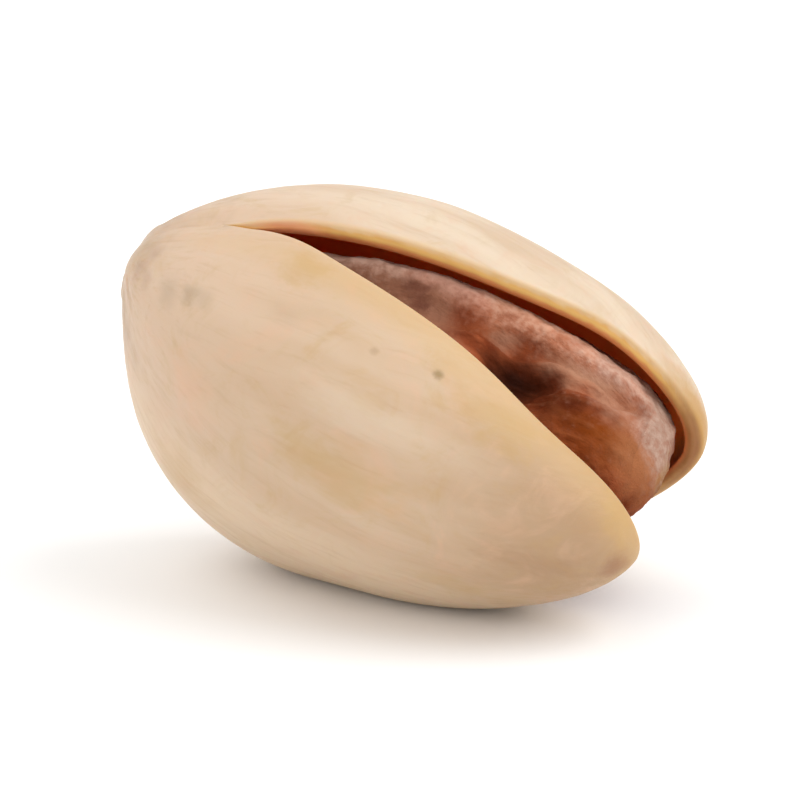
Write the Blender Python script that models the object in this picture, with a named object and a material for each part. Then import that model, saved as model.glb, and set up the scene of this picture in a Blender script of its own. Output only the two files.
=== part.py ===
"""A pistachio in its split shell, lying on a flat surface. Metres, +Z up.

The shell is one woody wall: two valves that have split along their seam from the tip and
still grow together round the stalk end. The seed lies loose inside, in its papery skin.
Both are modelled on the nut's own axes, X from the stalk end to the tip, Y across the seam
and Z from the back of the nut to its open edge, and are then turned to the way the nut lies.
"""

import math

import bmesh
import bpy
from mathutils import Matrix, Vector

MM = 0.001

# The shell's size, from the nut's axis: to the tip, to a cheek, to the open edge, to the back
HALF_LENGTH = 10.75 * MM
HALF_WIDTH = 6.16 * MM
EDGE_HEIGHT = 4.90 * MM
BACK_HEIGHT = 8.84 * MM
WALL = 0.66 * MM

# Each profile's taper from the stalk end to the tip, and how pointed it is at either end
EDGE_FORM = (0.09, 1.18, 0.96)
BACK_FORM = (0.30, 1.22, 1.27)
CHEEK_FORM = (0.21, 1.34, 1.05)
DOME_CENTRE_X = 0.3 * MM
DOME_CENTRE_Z = -1.2 * MM

# The split: where it ends on the open edge and on the back, and how far the valves gape
SPLIT_EDGE_X = -8.0 * MM
SPLIT_BACK_X = 2.3 * MM
SPLIT_ANGLE = math.radians(15.3)
SPLIT_EASE = 0.9 * MM
CHEEK_LEAD = 3.0 * MM
RIM_BOW = 0.47 * MM
RIM_BOW_X = 6.2 * MM
RIM_BOW_REACH = 2.6 * MM

# The groove of the seam where the valves still hold together, and the scar of the stalk
GROOVE_DEPTH = 0.28 * MM
GROOVE_WIDTH = 1.0 * MM
GROOVE_REACH = 0.07
GROOVE_REST = 0.35
SCAR_DEPTH = 0.35 * MM
SCAR_RADIUS = 1.1 * MM

# Slow waves in the cheeks, so that neither valve is a perfect dome
WAVE_HEIGHT = 0.06 * MM
WAVE_LENGTH = 13.0 * MM

# The seed: the same four sizes, the place of its middle, and its turn towards the far valve
SEED_HALF_LENGTH = 9.60 * MM
SEED_HALF_WIDTH = 4.5 * MM
SEED_EDGE_HEIGHT = 3.3 * MM
SEED_BACK_HEIGHT = 7.0 * MM
SEED_EDGE_FORM = (-0.02, 1.05, 0.85)
SEED_BACK_FORM = (0.33, 1.15, 1.20)
SEED_CHEEK_FORM = (-0.09, 1.05, 0.64)
SEED_MIDDLE = Vector((0.52, 0.17, -0.16)) * MM
SEED_YAW = math.radians(8.6)
SEED_TILT = math.radians(-2.0)

# The roll along the top of the seed's far half. It runs straight, then bends round the tip end.
RIDGE_HEIGHT = 0.34 * MM
RIDGE_Y = 1.62 * MM
RIDGE_WIDTH = 0.62 * MM
RIDGE_BEND_X = 1.0 * MM
RIDGE_REACH = 7.6 * MM
NEAR_FADE = 1.2 * MM

# The furrow beside the roll, the deep hollow in it, and the bulge of the near half
FURROW_DEPTH = 0.36 * MM
FURROW_OFFSET = 1.2 * MM
FURROW_WIDTH = 0.62 * MM
HOLLOW_DEPTH = 1.15 * MM
HOLLOW_MIDDLE = Vector((3.8, -0.4, 2.6)) * MM
HOLLOW_HALF_LENGTH = 1.35 * MM
HOLLOW_FAR_WIDTH = 0.72 * MM
HOLLOW_NEAR_WIDTH = 2.0 * MM
HOLLOW_TURN = math.radians(-25.0)
BULGE_HEIGHT = 0.22 * MM
BULGE_MIDDLE = Vector((6.9, -1.7, 1.9)) * MM
BULGE_SIZE = Vector((1.9, 1.1, 1.4)) * MM

# How the nut lies: its tip tilts down, it leans onto its near cheek, and it rests on a flat
TIP_DOWN = math.radians(20.7)
LEAN = math.radians(19.9)
FLAT_DEPTH = 0.32 * MM

# Mesh density: cells from the middle of a valve to its rim, and cuts across a face of the seed
CELLS = 12
RIM_STATIONS = 8 * CELLS
SPLIT_STATIONS = round(0.65 * RIM_STATIONS)
SEED_CUTS = 15


def clear_scene():
    for obj in list(bpy.data.objects):
        bpy.data.objects.remove(obj)


def profile(size, form, toward_stalk):
    """Half thickness of the nut where toward_stalk runs from 1 at the stalk end to -1 at the tip."""
    taper, stalk_power, tip_power = form
    span = math.sqrt(max(0.0, 1.0 - toward_stalk**2))
    power = stalk_power * (1 + toward_stalk) / 2 + tip_power * (1 - toward_stalk) / 2
    return size * (1 + taper * toward_stalk) * span**power


def seam_point(turn, depth):
    """Point of the seam's outline as (x, z): turn 0 is the stalk end, 1 the tip, 2 the stalk end again."""
    toward_stalk = math.cos(math.pi * turn)
    x = -(HALF_LENGTH - depth) * toward_stalk
    if turn % 2 <= 1:
        return x, profile(EDGE_HEIGHT - depth, EDGE_FORM, toward_stalk)
    return x, -profile(BACK_HEIGHT - depth, BACK_FORM, toward_stalk)


SPLIT_START = math.acos(-SPLIT_EDGE_X / HALF_LENGTH) / math.pi
SPLIT_END = 2 - math.acos(-SPLIT_BACK_X / HALF_LENGTH) / math.pi


def turn_of(station):
    """Place on the seam of a rim station: 0 to SPLIT_STATIONS run along the split, the rest is closed."""
    if station <= SPLIT_STATIONS:
        return SPLIT_START + (SPLIT_END - SPLIT_START) * station / SPLIT_STATIONS
    closed = (station - SPLIT_STATIONS) / (RIM_STATIONS - SPLIT_STATIONS)
    return SPLIT_END + (SPLIT_START + 2 - SPLIT_END) * closed


def gape(x, z, depth, bulge):
    """How far a valve has swung out at (x, z), ahead of the line that joins the split's ends.

    On the seam it starts at that line. In the cheek, where bulge is 1, it starts before it. The
    rim alone also bows out a little between the middle and the tip.
    """
    start = Vector(seam_point(SPLIT_START, depth))
    line = (Vector(seam_point(SPLIT_END, depth)) - start).normalized()
    lead = CHEEK_LEAD * bulge
    ahead = (Vector((x, z)) - start).dot(Vector((-line.y, line.x))) + lead
    if ahead <= 0:
        return 0.0
    ease = ahead / (ahead + SPLIT_EASE + lead)
    bow = RIM_BOW * (1 - bulge) * math.exp(-(((x - RIM_BOW_X) / RIM_BOW_REACH) ** 2))
    return (math.tan(SPLIT_ANGLE) * ahead + bow) * ease


def groove(turn, y):
    """Depth of the seam's groove: deepest where the split starts, fading as the valves part."""
    behind = min(abs(turn - SPLIT_START), abs(turn - SPLIT_START - 2))
    closed = turn > SPLIT_END or turn < SPLIT_START
    fade = math.exp(-((behind / GROOVE_REACH) ** 2))
    strength = GROOVE_REST + (1 - GROOVE_REST) * fade if closed else fade
    return GROOVE_DEPTH * strength * math.exp(-((y / GROOVE_WIDTH) ** 2))


def station_of(a, b):
    """Rim station that lies outward of grid place (a, b), so that a square grid wraps into a disc."""
    if a == 0 and b == 0:
        return 0.0
    if a >= abs(b):
        place = CELLS * b / a
    elif b >= abs(a):
        place = CELLS * (2 - a / b)
    elif -a >= abs(b):
        place = CELLS * (4 + b / a)
    else:
        place = CELLS * (6 - a / b)
    return place % RIM_STATIONS


def valve_point(station, ring, side, depth):
    """Point of one valve: ring runs from 0 in the middle of its cheek to 1 on the seam."""
    turn = turn_of(station)
    seam_x, seam_z = seam_point(turn, depth)
    reach = math.sin(ring * math.pi / 2)
    x = DOME_CENTRE_X + reach * (seam_x - DOME_CENTRE_X)
    z = DOME_CENTRE_Z + reach * (seam_z - DOME_CENTRE_Z)
    toward_stalk = max(-1.0, min(1.0, -x / (HALF_LENGTH - depth)))
    if z > 0:
        height = profile(EDGE_HEIGHT - depth, EDGE_FORM, toward_stalk)
    else:
        height = profile(BACK_HEIGHT - depth, BACK_FORM, toward_stalk)
    bulge = math.sqrt(max(0.0, 1 - (z / height) ** 2)) if height > 0 and ring < 1 else 0.0
    y = profile(HALF_WIDTH - depth, CHEEK_FORM, toward_stalk) * bulge
    wave = math.sin((x + side * 2 * z) / WAVE_LENGTH * math.tau) * bulge
    out = gape(x, z, depth, bulge) if ring < 1 or station < SPLIT_STATIONS else 0.0
    point = Vector((x, side * (y + WAVE_HEIGHT * wave + out), z))
    if depth > 0:
        return point
    inward = Vector((DOME_CENTRE_X - x, 0, DOME_CENTRE_Z - z))
    point += inward.normalized() * groove(turn, y) if inward.length > 0 else inward
    scar = (y**2 + z**2) / SCAR_RADIUS**2
    if x < 0:
        point.x += SCAR_DEPTH * math.exp(-scar)
    return point


def add_valve_face(bm, side, depth):
    """A square grid laid over one face of a valve. Returns its rim vertices, by station."""
    grid = bmesh.ops.create_grid(bm, x_segments=2 * CELLS, y_segments=2 * CELLS, size=CELLS)
    rim = {}
    for vert in grid["verts"]:
        a, b = round(vert.co.x), round(vert.co.y)
        ring = max(abs(a), abs(b)) / CELLS
        station = station_of(a, b)
        vert.co = valve_point(station, ring, side, depth)
        if ring == 1:
            rim[round(station) % RIM_STATIONS] = vert
    return rim


def join_closed_seam(bm, near, far):
    """Weld two faces along the part of the seam that has not split."""
    closed = [0] + list(range(SPLIT_STATIONS, RIM_STATIONS))
    bmesh.ops.weld_verts(bm, targetmap={far[station]: near[station] for station in closed})
    for station in closed:
        far[station] = near[station]


def close_rim(bm, outer, inner):
    """The broken edge of one valve, between its outer and its inner face."""
    for station in range(SPLIT_STATIONS):
        ahead = station + 1
        bm.faces.new((outer[station], outer[ahead], inner[ahead], inner[station]))


def shell_mesh():
    bm = bmesh.new()
    rims = {(side, depth): add_valve_face(bm, side, depth) for side in (-1, 1) for depth in (0, WALL)}
    for depth in (0, WALL):
        join_closed_seam(bm, rims[-1, depth], rims[1, depth])
    for side in (-1, 1):
        close_rim(bm, rims[side, 0], rims[side, WALL])
    return bm


def across_ridge(point):
    """Distance from the roll's crest, outward positive."""
    ahead = max(0.0, point.x - RIDGE_BEND_X) / RIDGE_REACH
    aside = point.y / RIDGE_Y
    size = math.hypot(ahead, aside)
    steepness = math.hypot(ahead / RIDGE_REACH, aside / RIDGE_Y)
    return (size - 1) * size / steepness if steepness > 0 else -RIDGE_Y


def hollow_share(point):
    """1 in the middle of the hollow, falling to 0 round it. It is wider towards the near half."""
    offset = Matrix.Rotation(-HOLLOW_TURN, 3, "Z") @ (point - HOLLOW_MIDDLE)
    width = HOLLOW_FAR_WIDTH if offset.y > 0 else HOLLOW_NEAR_WIDTH
    spread = (offset.x / HOLLOW_HALF_LENGTH) ** 2 + (offset.y / width) ** 2
    return math.exp(-(spread**1.4))


def seed_relief(point):
    """Height of the roll and the bulge on top of the seed, less the depth of the furrow and the hollow."""
    if point.z <= 0:
        return 0.0
    far_half = min(1.0, max(0.0, (point.y + NEAR_FADE) / NEAR_FADE))
    on_top = far_half * math.sqrt(point.z / SEED_EDGE_HEIGHT)
    across = across_ridge(point)
    ridge = RIDGE_HEIGHT * on_top * math.exp(-((across / RIDGE_WIDTH) ** 2))
    furrow = FURROW_DEPTH * on_top * math.exp(-(((across + FURROW_OFFSET) / FURROW_WIDTH) ** 2))
    offset = point - BULGE_MIDDLE
    bulge = BULGE_HEIGHT * math.exp(-sum((offset[axis] / BULGE_SIZE[axis]) ** 2 for axis in range(3)))
    return ridge + bulge - furrow - HOLLOW_DEPTH * hollow_share(point)


def seed_point(direction):
    """Where the ray from the seed's middle in this direction meets its skin."""
    toward_stalk = -direction.x
    span = math.hypot(direction.y, direction.z)
    if span < 1e-9:
        return Vector((SEED_HALF_LENGTH * direction.x, 0, 0))
    if direction.z > 0:
        height = profile(SEED_EDGE_HEIGHT, SEED_EDGE_FORM, toward_stalk)
    else:
        height = profile(SEED_BACK_HEIGHT, SEED_BACK_FORM, toward_stalk)
    width = profile(SEED_HALF_WIDTH, SEED_CHEEK_FORM, toward_stalk)
    point = Vector((direction.x * SEED_HALF_LENGTH, direction.y / span * width, direction.z / span * height))
    return point + Vector((0, 0, seed_relief(point)))


def seed_mesh():
    bm = bmesh.new()
    bmesh.ops.create_cube(bm, size=2.0)
    bmesh.ops.subdivide_edges(bm, edges=bm.edges[:], cuts=SEED_CUTS, use_grid_fill=True)
    turn = Matrix.Rotation(SEED_TILT, 3, "Y") @ Matrix.Rotation(SEED_YAW, 3, "Z")
    for vert in bm.verts:
        vert.co = turn @ seed_point(vert.co.normalized()) + SEED_MIDDLE
    return bm


def add_object(name, bm, material):
    bmesh.ops.recalc_face_normals(bm, faces=bm.faces[:])
    mesh = bpy.data.meshes.new(name)
    bm.to_mesh(mesh)
    bm.free()
    mesh.shade_smooth()
    mesh.set_sharp_from_angle(angle=math.radians(50))
    mesh.materials.append(material)
    obj = bpy.data.objects.new(name, mesh)
    bpy.context.scene.collection.objects.link(obj)
    return obj


def principled(name, colour, roughness):
    material = bpy.data.materials.new(name)
    material.use_nodes = True
    shader = material.node_tree.nodes["Principled BSDF"]
    shader.inputs["Base Color"].default_value = (*colour, 1.0)
    shader.inputs["Roughness"].default_value = roughness
    shader.inputs["Metallic"].default_value = 0.0
    return material


def lay_down(bodies):
    """Turn the nut to the way it lies, centre it over the origin and stand its lowest side at z = 0."""
    pose = Matrix.Rotation(TIP_DOWN, 4, "Y") @ Matrix.Rotation(LEAN, 4, "X")
    for bm in bodies:
        bmesh.ops.transform(bm, matrix=pose, verts=bm.verts[:])
    shell = [vert.co for vert in bodies[0].verts]
    low = Vector(min(co[axis] for co in shell) for axis in range(3))
    high = Vector(max(co[axis] for co in shell) for axis in range(3))
    shift = Vector((-(low.x + high.x) / 2, -(low.y + high.y) / 2, -low.z - FLAT_DEPTH))
    for bm in bodies:
        bmesh.ops.translate(bm, vec=shift, verts=bm.verts[:])


def press_flat(bm):
    """The small flat that the nut rests on."""
    for vert in bm.verts:
        vert.co.z = max(0.0, vert.co.z)


def main():
    clear_scene()
    shell = shell_mesh()
    seed = seed_mesh()
    lay_down((shell, seed))
    press_flat(shell)
    add_object("shell", shell, principled("shell", (0.80, 0.66, 0.48), 0.45))
    add_object("kernel", seed, principled("seed_skin", (0.36, 0.17, 0.13), 0.6))


main()
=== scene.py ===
# %% [markdown]
# # A pistachio in its split shell
#
# This file dresses one nut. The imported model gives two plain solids, the shell and the seed,
# at their real size and place. Each one is built again here with a finer mesh, and gets a
# material made of nodes.

import math

import bmesh
import bpy
from mathutils import Matrix, Vector, kdtree, noise


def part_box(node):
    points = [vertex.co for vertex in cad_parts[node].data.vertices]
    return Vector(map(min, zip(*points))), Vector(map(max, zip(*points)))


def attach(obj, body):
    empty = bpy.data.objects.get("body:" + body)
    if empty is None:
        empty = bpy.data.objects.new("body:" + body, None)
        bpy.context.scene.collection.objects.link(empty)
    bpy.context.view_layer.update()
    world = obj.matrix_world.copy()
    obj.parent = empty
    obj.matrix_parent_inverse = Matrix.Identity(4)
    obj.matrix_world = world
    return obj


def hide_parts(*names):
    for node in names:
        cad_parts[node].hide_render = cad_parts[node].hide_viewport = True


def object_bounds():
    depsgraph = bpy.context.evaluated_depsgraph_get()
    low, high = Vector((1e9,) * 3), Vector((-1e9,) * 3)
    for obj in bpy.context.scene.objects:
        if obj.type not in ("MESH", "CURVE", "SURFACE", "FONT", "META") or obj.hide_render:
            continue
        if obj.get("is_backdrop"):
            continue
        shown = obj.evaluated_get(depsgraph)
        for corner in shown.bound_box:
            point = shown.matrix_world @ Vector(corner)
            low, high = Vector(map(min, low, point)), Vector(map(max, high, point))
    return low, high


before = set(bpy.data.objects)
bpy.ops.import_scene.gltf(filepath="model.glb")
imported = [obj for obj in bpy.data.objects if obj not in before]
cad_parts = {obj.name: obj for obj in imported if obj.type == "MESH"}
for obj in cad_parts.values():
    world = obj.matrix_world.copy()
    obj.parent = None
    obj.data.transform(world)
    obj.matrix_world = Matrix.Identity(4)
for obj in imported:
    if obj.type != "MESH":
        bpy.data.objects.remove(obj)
cad_low, cad_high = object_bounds()
size_mm = [round(side * 1000, 2) for side in cad_high - cad_low]
print("nodes:", sorted(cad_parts), "size in mm:", size_mm)

# %% [markdown]
# ## The camera
#
# A nut is small, but a camera held very close to it swells whatever is nearest. From a hand's
# span away, through a long lens, it keeps its proportions and still fills the picture. The
# camera only has to be aimed, from a little to the tip's side and a little above the table.

# %% Aim the camera
MM = 0.001
CAMERA_AZIMUTH = math.radians(17.0)
CAMERA_ELEVATION = math.radians(17.0)
CAMERA_DISTANCE = 230 * MM
FRAME_WIDTH = 28.5 * MM
SENSOR_WIDTH = 36.0


def add_to_scene(name, data):
    """A new object that shows this data."""
    obj = bpy.data.objects.new(name, data)
    bpy.context.scene.collection.objects.link(obj)
    return obj


nut_middle = (cad_low + cad_high) / 2
away = Vector(
    (
        math.sin(CAMERA_AZIMUTH) * math.cos(CAMERA_ELEVATION),
        -math.cos(CAMERA_AZIMUTH) * math.cos(CAMERA_ELEVATION),
        math.sin(CAMERA_ELEVATION),
    )
)
camera = add_to_scene("camera", bpy.data.cameras.new("camera"))
camera.location = nut_middle + away * CAMERA_DISTANCE
camera.rotation_euler = (-away).to_track_quat("-Z", "Y").to_euler()
camera.data.sensor_width = SENSOR_WIDTH
camera.data.lens = SENSOR_WIDTH * CAMERA_DISTANCE / FRAME_WIDTH
camera.data.clip_start = 5 * MM
bpy.context.scene.camera = camera
print("lens in mm:", round(camera.data.lens))

# %% [markdown]
# ## The table and the light
#
# The table is one large pale sheet that runs out of the picture on all sides, so no edge or
# horizon shows. It is marked as stage, because it is not part of the nut.

# %% Lay the table
TABLE_SIDE = 3.0
TABLE_WHITE, TABLE_ROUGHNESS = (0.93, 0.93, 0.925, 1), 0.9


def new_material(name, mesh):
    """Put a new material on a mesh. Returns its node tree and its shader."""
    material = bpy.data.materials.new(name)
    material.use_nodes = True
    mesh.materials.append(material)
    return material.node_tree, material.node_tree.nodes["Principled BSDF"]


table_bm = bmesh.new()
bmesh.ops.create_grid(table_bm, x_segments=1, y_segments=1, size=TABLE_SIDE / 2)
table_mesh = bpy.data.meshes.new("table")
table_bm.to_mesh(table_mesh)
table_bm.free()
table = add_to_scene("table", table_mesh)
table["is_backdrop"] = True

white_shader = new_material("white_table", table_mesh)[1]
white_shader.inputs["Base Color"].default_value = TABLE_WHITE
white_shader.inputs["Roughness"].default_value = TABLE_ROUGHNESS
print("table side in m:", TABLE_SIDE)

# %% [markdown]
# A light is soft when it is large beside the thing it lights. Most of the light here comes from
# the bright white world, so no side of the nut goes dark. Three wide panels add to it: one above
# the tip reaches into the split and brightens the far valve, and weaker ones at the stalk end
# and in front keep the shadow under the nut soft and pale.

# %% Hang the lights
WORLD_STRENGTH = 0.87


def add_panel(name, place, side, power):
    """A square light that faces the nut. Place and side are in metres, and power in watts."""
    light = bpy.data.lights.new(name, "AREA")
    light.size = side
    light.energy = power
    panel = add_to_scene(name, light)
    panel.location = place
    panel.rotation_euler = (nut_middle - Vector(place)).to_track_quat("-Z", "Y").to_euler()


add_panel("tip_panel", place=(0.35, 0.05, 0.40), side=0.50, power=1.7)
add_panel("stalk_panel", place=(-0.35, 0.05, 0.40), side=0.50, power=0.6)
add_panel("front_panel", place=(0.0, -0.50, 0.35), side=0.40, power=0.5)

world = bpy.data.worlds.new("studio")
bpy.context.scene.world = world
world.use_nodes = True
sky = world.node_tree.nodes["Background"]
sky.inputs["Color"].default_value = (1.0, 1.0, 1.0, 1)
sky.inputs["Strength"].default_value = WORLD_STRENGTH
bpy.context.scene.view_settings.view_transform = "Standard"
print("lights:", [lamp.name for lamp in bpy.data.lights])

# %% [markdown]
# ## The nut's outline
#
# Everything below is modelled on the nut's own axes, in millimetres: X runs from the stalk end
# to the tip, Y goes across the seam, and Z from the back of the nut to its open edge. A nut is
# close to an ellipsoid but not quite: it is blunter at the stalk end and deeper on its back. So
# each of its three sizes is a curve along the length, with a taper and a power at either end.

# %% Shape the outline
HALF_LENGTH, HALF_WIDTH = 10.75, 6.16
EDGE_HEIGHT, BACK_HEIGHT = 4.90, 8.84
EDGE_FORM = (0.09, 1.18, 0.96)
BACK_FORM = (0.30, 1.22, 1.27)
CHEEK_FORM = (0.21, 1.34, 1.05)


def profile(size, form, toward_stalk):
    """Half thickness of the nut. toward_stalk is 1 at the stalk end and -1 at the tip."""
    taper, stalk_power, tip_power = form
    span = math.sqrt(max(0.0, 1.0 - toward_stalk**2))
    power = stalk_power * (1 + toward_stalk) / 2 + tip_power * (1 - toward_stalk) / 2
    return size * (1 + taper * toward_stalk) * span**power


def height_at(x, z, depth):
    """Height of the outline at x, on the side of the axis that z is on."""
    toward_stalk = max(-1.0, min(1.0, -x / (HALF_LENGTH - depth)))
    if z > 0:
        return profile(EDGE_HEIGHT - depth, EDGE_FORM, toward_stalk)
    return profile(BACK_HEIGHT - depth, BACK_FORM, toward_stalk)


def seam_point(turn, depth):
    """The seam as (x, z): turn 0 is the stalk end, 1 the tip, and 2 the stalk end again."""
    toward_stalk = math.cos(math.pi * turn)
    x = -(HALF_LENGTH - depth) * toward_stalk
    if turn % 2 <= 1:
        return x, profile(EDGE_HEIGHT - depth, EDGE_FORM, toward_stalk)
    return x, -profile(BACK_HEIGHT - depth, BACK_FORM, toward_stalk)


middle_height = profile(EDGE_HEIGHT, EDGE_FORM, 0) + profile(BACK_HEIGHT, BACK_FORM, 0)
print("height at the middle in mm:", round(middle_height, 2))

# %% [markdown]
# ## The split
#
# As the seed swells, the wall breaks along its seam from the tip and the valves swing apart
# like a beak, bending round the stalk end. Cutting a closed shell with a boolean would leave a
# ragged mesh. Here every point of the wall knows how far ahead of the hinge line it lies, and
# moves sideways in proportion, which keeps the mesh in clean rows.

# %% Open the split
SPLIT_EDGE_X, SPLIT_BACK_X = -8.0, 2.3
SPLIT_ANGLE = math.radians(15.3)
SPLIT_EASE, CHEEK_LEAD = 0.9, 3.0
RIM_BOW, RIM_BOW_X, RIM_BOW_REACH = 0.47, 6.2, 2.6

SPLIT_START = math.acos(-SPLIT_EDGE_X / HALF_LENGTH) / math.pi
SPLIT_END = 2 - math.acos(-SPLIT_BACK_X / HALF_LENGTH) / math.pi


def bell(offset, width):
    """1 where the offset is 0, and next to nothing at two widths from there."""
    return math.exp(-((offset / width) ** 2))


def hinge_line(depth):
    """A point of the line between the split's ends, and the direction square to it, towards the tip."""
    start = Vector(seam_point(SPLIT_START, depth))
    line = (Vector(seam_point(SPLIT_END, depth)) - start).normalized()
    return start, Vector((-line.y, line.x))


def gape(x, z, depth, bulge):
    """How far a valve has swung out at (x, z). bulge is 0 on the seam and 1 in the cheek.

    The cheek starts before the seam, and the rim alone bows out a little more near the tip.
    """
    start, ahead_of_hinge = hinge_line(depth)
    lead = CHEEK_LEAD * bulge
    ahead = (Vector((x, z)) - start).dot(ahead_of_hinge) + lead
    if ahead <= 0:
        return 0.0
    ease = ahead / (ahead + SPLIT_EASE + lead)
    bow = RIM_BOW * (1 - bulge) * bell(x - RIM_BOW_X, RIM_BOW_REACH)
    return (math.tan(SPLIT_ANGLE) * ahead + bow) * ease


tip_x, tip_z = seam_point(1, 0)
print("gape at the tip in mm:", round(2 * gape(tip_x, tip_z, 0, 0), 2))

# %% [markdown]
# ## One point of a valve
#
# A valve is a dome. A point on it is named by two numbers: its station, which says which way
# round the rim it lies, and its ring, from 0 in the middle of the cheek to 1 on the seam. The
# same function gives the outer face, at depth 0, and the inner face, one wall deeper.

# %% Place one point of a valve
WALL = 0.66
DOME_CENTRE_X, DOME_CENTRE_Z = 0.3, -1.2
WAVE_HEIGHT, WAVE_LENGTH = 0.06, 13.0
GROOVE_DEPTH, GROOVE_WIDTH = 0.28, 1.0
GROOVE_REACH, GROOVE_REST = 0.07, 0.35
CLING, CLING_X, CLING_REACH, CLING_DEPTH = 0.2, -4.9, 1.7, 0.35
CELLS = 72
RIM_STATIONS = 8 * CELLS
SPLIT_SHARE = 0.65
SPLIT_STATIONS = round(SPLIT_SHARE * RIM_STATIONS)


def turn_of(station):
    """Place on the seam of a rim station: the first stations run along the split, the rest is closed."""
    if station <= SPLIT_STATIONS:
        return SPLIT_START + (SPLIT_END - SPLIT_START) * station / SPLIT_STATIONS
    closed = (station - SPLIT_STATIONS) / (RIM_STATIONS - SPLIT_STATIONS)
    return SPLIT_END + (SPLIT_START + 2 - SPLIT_END) * closed


def groove(turn, y):
    """Depth of the seam's groove: deepest where the split starts, fading as the valves part."""
    behind = min(abs(turn - SPLIT_START), abs(turn - SPLIT_START - 2))
    fade = bell(behind, GROOVE_REACH)
    if turn > SPLIT_END or turn < SPLIT_START:
        fade = GROOVE_REST + (1 - GROOVE_REST) * fade
    return GROOVE_DEPTH * fade * bell(y, GROOVE_WIDTH)


def cling(x, bulge):
    """How far the near valve's rim stays behind where the split starts: some fibres still hold it."""
    return CLING * bell(x - CLING_X, CLING_REACH) * bell(bulge, CLING_DEPTH)


def valve_point(station, ring, side, depth):
    """The point at this station and ring. side is -1 on the near valve and 1 on the far one."""
    turn = turn_of(station)
    seam_x, seam_z = seam_point(turn, depth)
    reach = math.sin(ring * math.pi / 2)
    x = DOME_CENTRE_X + reach * (seam_x - DOME_CENTRE_X)
    z = DOME_CENTRE_Z + reach * (seam_z - DOME_CENTRE_Z)
    height = height_at(x, z, depth)
    bulge = math.sqrt(max(0.0, 1 - (z / height) ** 2)) if height > 0 and ring < 1 else 0.0
    toward_stalk = max(-1.0, min(1.0, -x / (HALF_LENGTH - depth)))
    y = profile(HALF_WIDTH - depth, CHEEK_FORM, toward_stalk) * bulge
    wave = WAVE_HEIGHT * math.sin((x + side * 2 * z) / WAVE_LENGTH * math.tau) * bulge
    out = gape(x, z, depth, bulge) if ring < 1 or station < SPLIT_STATIONS else 0.0
    if side < 0 and z > 0:
        out -= cling(x, bulge)
    point = Vector((x, side * (y + wave + out), z))
    if depth == 0:
        inward = Vector((DOME_CENTRE_X - x, 0, DOME_CENTRE_Z - z))
        point += inward.normalized() * groove(turn, y)
    return point


print("near cheek in mm:", valve_point(0, 0, -1, 0))

# %% [markdown]
# ## The wall's two faces
#
# A disc could be a fan of triangles, but they crowd together in the middle and shade badly. A
# square grid wrapped into a disc has cells of much the same size all over. Two valves with two
# faces each make four grids. Each vertex also notes whether it is on the outer or the inner
# face, because the material asks for that later.

# %% Wrap a grid over each face
ROUND_OUTER, ROUND_INNER, ROUND_EASE = 0.20, 0.16, 14


def station_of(a, b):
    """Rim station that lies outward of grid place (a, b)."""
    if a == 0 and b == 0:
        return 0.0
    if a >= abs(b):
        return (CELLS * b / a) % RIM_STATIONS
    if b >= abs(a):
        return CELLS * (2 - a / b)
    if -a >= abs(b):
        return CELLS * (4 + b / a)
    return CELLS * (6 - a / b)


def trim(station, radius):
    """Share of the way to the seam that a face leaves free for the rounding of a broken edge."""
    inside = min(station, SPLIT_STATIONS - station)
    if inside <= 0:
        return 0.0
    seam_x, seam_z = seam_point(turn_of(station), 0)
    reach = math.hypot(seam_x - DOME_CENTRE_X, seam_z - DOME_CENTRE_Z)
    arc = math.pi / 2 * math.sqrt((HALF_WIDTH**2 + reach**2) / 2)
    return radius / arc * min(1.0, inside / ROUND_EASE)


def add_face(bm, side, depth, wall):
    """One face of a valve. Returns its rim vertices, by station."""
    radius = ROUND_INNER if depth else ROUND_OUTER
    grid = bmesh.ops.create_grid(bm, x_segments=2 * CELLS, y_segments=2 * CELLS, size=CELLS)
    rim = {}
    for vert in grid["verts"]:
        a, b = round(vert.co.x), round(vert.co.y)
        station = station_of(a, b)
        ring = max(abs(a), abs(b)) / CELLS
        vert.co = valve_point(station, ring * (1 - trim(station, radius)), side, depth)
        vert[wall] = 1.0 if depth else 0.0
        if ring == 1:
            rim[round(station) % RIM_STATIONS] = vert
    return rim


shell_bm = bmesh.new()
wall_layer = shell_bm.verts.layers.float.new("across_wall")
rims = {}
for side in (-1, 1):
    for depth in (0, WALL):
        rims[side, depth] = add_face(shell_bm, side, depth, wall_layer)
print("vertices on four faces:", len(shell_bm.verts))

# %% [markdown]
# ## The broken edge
#
# Where the wall has split it shows its thickness. A sharp corner there would catch no light and
# look like cut card. Each edge is rounded by a short curve of rows, and the band between them
# is left a little uneven, as dry wood is where it parts. Welding then joins the two valves, but
# for a hairline just behind the split, where the near rim is held back by about 0.01 mm.

# %% Close and round the broken edge
ROUND_ROWS, ROUND_THROUGH = 4, 0.25
BAND_ROWS, BAND_CROWN = 4, 0.05
CHIP_HEIGHT, CHIPS_PER_MM = 0.035, 2.5
WELD_DISTANCE, SLIVER = 1e-4, 1e-5


def bend(start, corner, end, share):
    """Point on the curve from start to end that a corner pulls outwards."""
    return start.lerp(corner, share).lerp(corner.lerp(end, share), share)


def rounding(start, corner, end, through_start, through_end):
    """Points between start and end of a rounded corner, each with how far through the wall it is."""
    points = []
    for row in range(1, ROUND_ROWS):
        share = row / ROUND_ROWS
        through = through_start + (through_end - through_start) * share
        points.append((bend(start, corner, end, share), through))
    return points


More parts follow.
